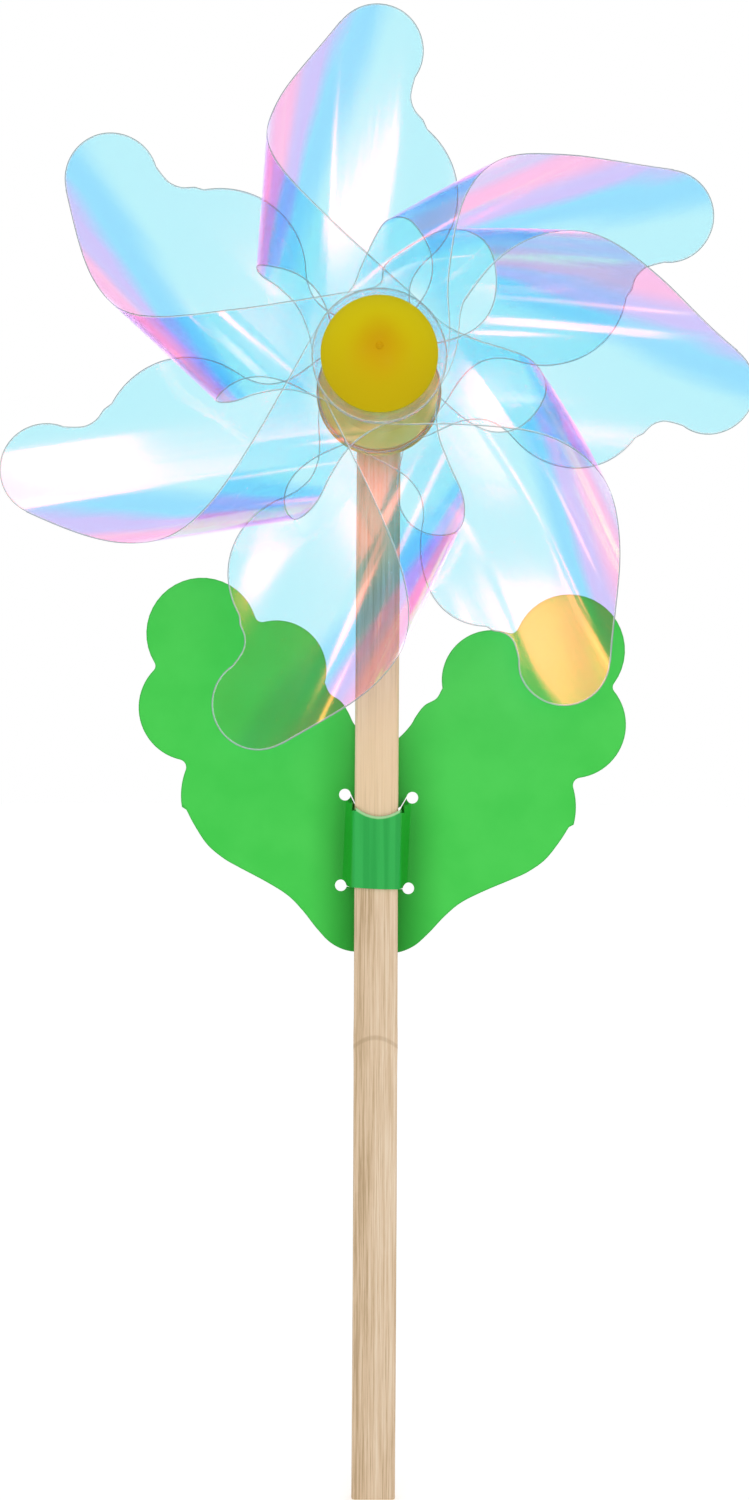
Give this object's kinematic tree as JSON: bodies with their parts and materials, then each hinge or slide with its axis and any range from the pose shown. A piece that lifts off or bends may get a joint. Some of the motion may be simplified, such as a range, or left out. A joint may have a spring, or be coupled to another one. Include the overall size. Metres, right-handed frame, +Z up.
{
  "type": "pinwheel",
  "caption": "Pinwheel with curled iridescent film petals on a yellow hub, spinning on a flat bamboo strip that carries a sliding green leaf.",
  "frame": {"origin": "centre of the stick's square-cut foot", "axes": "+Z up along the stick, the wheel faces -Y, +X to the right seen from the front"},
  "size_m": [0.2349, 0.0712, 0.4719],
  "materials": {
    "bamboo": "matte",
    "leaf_sheet": "satin",
    "steel": "satin",
    "hub_yellow": "gloss",
    "cap_yellow": "gloss",
    "white_plastic": "satin",
    "dichroic_film": "gloss"
  },
  "bodies": {
    "stick": {"bamboo_stick": "bamboo", "axle_pin": "steel", "rear_end_cap": "hub_yellow", "spacer_bush": "white_plastic"},
    "leaf": {"leaf": "leaf_sheet"},
    "wheel": {"rear_clamp_disc": "hub_yellow", "hub_body": "hub_yellow", "domed_cap": "cap_yellow", "petal_1": "dichroic_film", "petal_2": "dichroic_film", "petal_3": "dichroic_film", "petal_4": "dichroic_film", "petal_5": "dichroic_film", "petal_6": "dichroic_film", "petal_7": "dichroic_film"}
  },
  "joints": [
    {"name": "wheel_spin", "type": "hinge", "parent": "stick", "child": "wheel", "pos_m": [0, -0.033, 0.351], "axis": [0, -1, 0], "continuous": true},
    {"name": "leaf_slide", "type": "slide", "parent": "stick", "child": "leaf", "axis": [0, 0, 1], "range_m": [-0.165, 0.02]}
  ]
}
